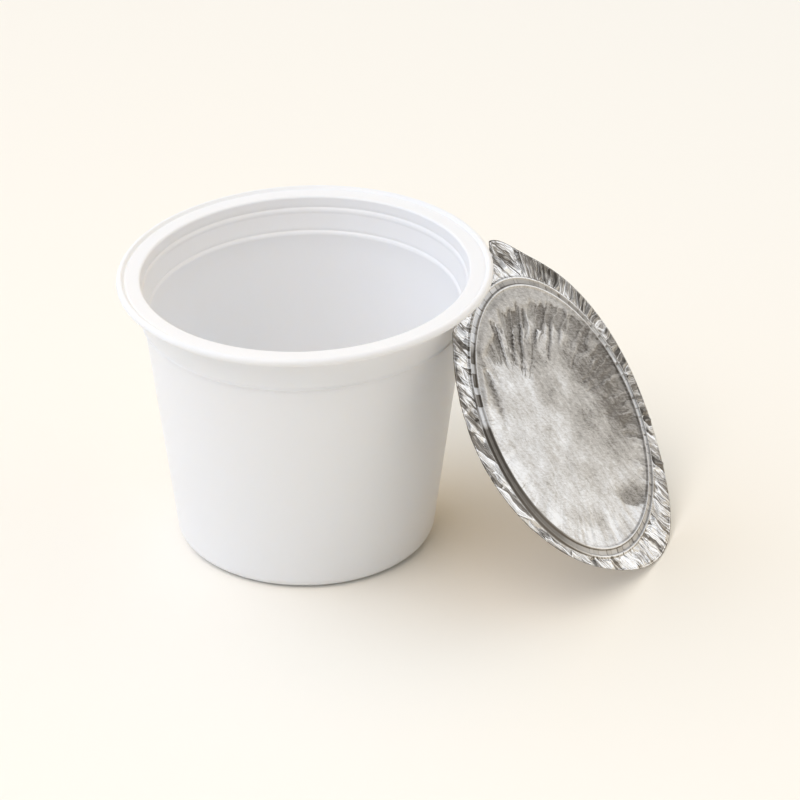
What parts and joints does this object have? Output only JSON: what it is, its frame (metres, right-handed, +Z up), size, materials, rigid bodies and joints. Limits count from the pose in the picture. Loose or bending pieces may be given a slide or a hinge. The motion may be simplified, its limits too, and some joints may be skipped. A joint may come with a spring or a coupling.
{
  "type": "plastic food cup with foil lid",
  "caption": "Empty white plastic food cup with a rolled lip and inner ledges, and its peeled foil lid with pull tabs leaning on it.",
  "frame": {"origin": "middle of the cup's flat base, on the surface it stands on", "axes": "+Z up along the cup's axis, +X from the cup towards the foil lid, +Y away from the side the lid faces least"},
  "size_m": [0.1124, 0.0788, 0.0601],
  "materials": {
    "white_plastic": "smooth white plastic with a soft sheen",
    "lid_foil": "bright creased foil, finely brushed on the flat panel"
  },
  "bodies": {
    "root": {"cup": "white_plastic", "foil_lid": "lid_foil"}
  },
  "joints": []
}
